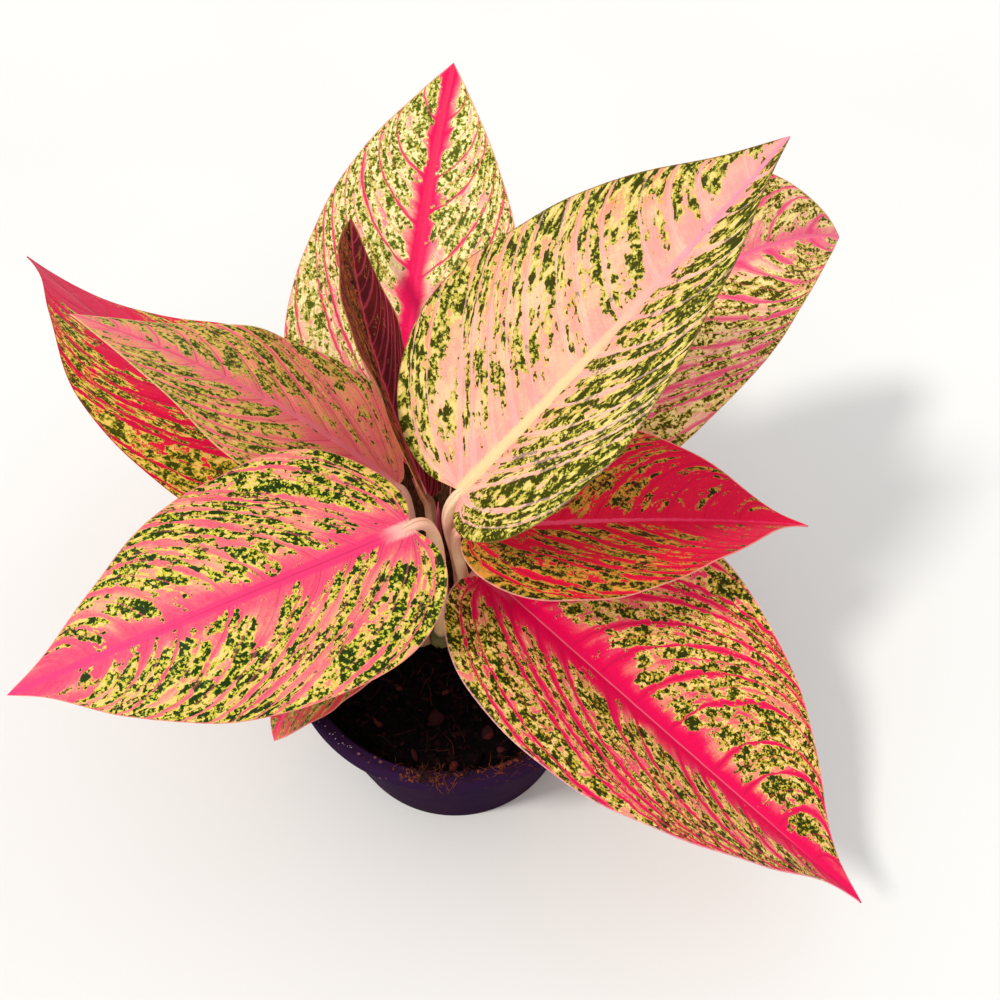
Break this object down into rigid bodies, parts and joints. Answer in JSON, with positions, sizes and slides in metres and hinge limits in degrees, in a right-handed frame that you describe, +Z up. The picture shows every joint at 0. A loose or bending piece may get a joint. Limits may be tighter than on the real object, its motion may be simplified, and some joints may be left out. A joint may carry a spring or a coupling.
{
  "type": "potted legacy aglaonema",
  "caption": "Aglaonema with broad pink, red and green mottled leaves fanning from a short cane in a dark round plastic nursery pot filled with potting mix.",
  "frame": {"origin": "middle of the pot's flat underside", "axes": "+Z up along the pot's axis; -Y is the front, where the soil and the pot's rim show between the leaves; +X to the right seen from the front"},
  "size_m": [0.3829, 0.2996, 0.2746],
  "materials": {
    "pot": "dark purple moulded plastic, semi-gloss, lightly scuffed",
    "soil": "dark moist potting mix with bark chips and coir fibres",
    "cane": "green-brown ringed cane, matt",
    "roots": "pale fleshy roots, matt",
    "petiole": "cream to pink stalks, smooth, slightly glossy",
    "blade": "pink, yellow-green and dark green mosaic leaf, satin, with raised veins",
    "young_blade": "dark maroon young leaf, satin",
    "rolled_leaf": "dark red rolled leaf, satin"
  },
  "bodies": {
    "root": {"pot": "pot", "soil": "soil", "cane": "cane", "roots": "roots", "rolled_leaf": "rolled_leaf", "petiole_front_left": "petiole", "blade_front_left": "blade", "petiole_upper_right": "petiole", "blade_upper_right": "blade", "petiole_right": "petiole", "blade_right": "blade", "petiole_front_right": "petiole", "blade_front_right": "blade", "petiole_back": "petiole", "blade_back": "blade", "petiole_right_back": "petiole", "blade_right_back": "blade", "petiole_left": "petiole", "blade_left": "blade", "petiole_left_back": "petiole", "blade_left_back": "blade", "petiole_low": "petiole", "blade_low": "blade", "petiole_young": "petiole", "blade_young": "young_blade"}
  },
  "joints": []
}
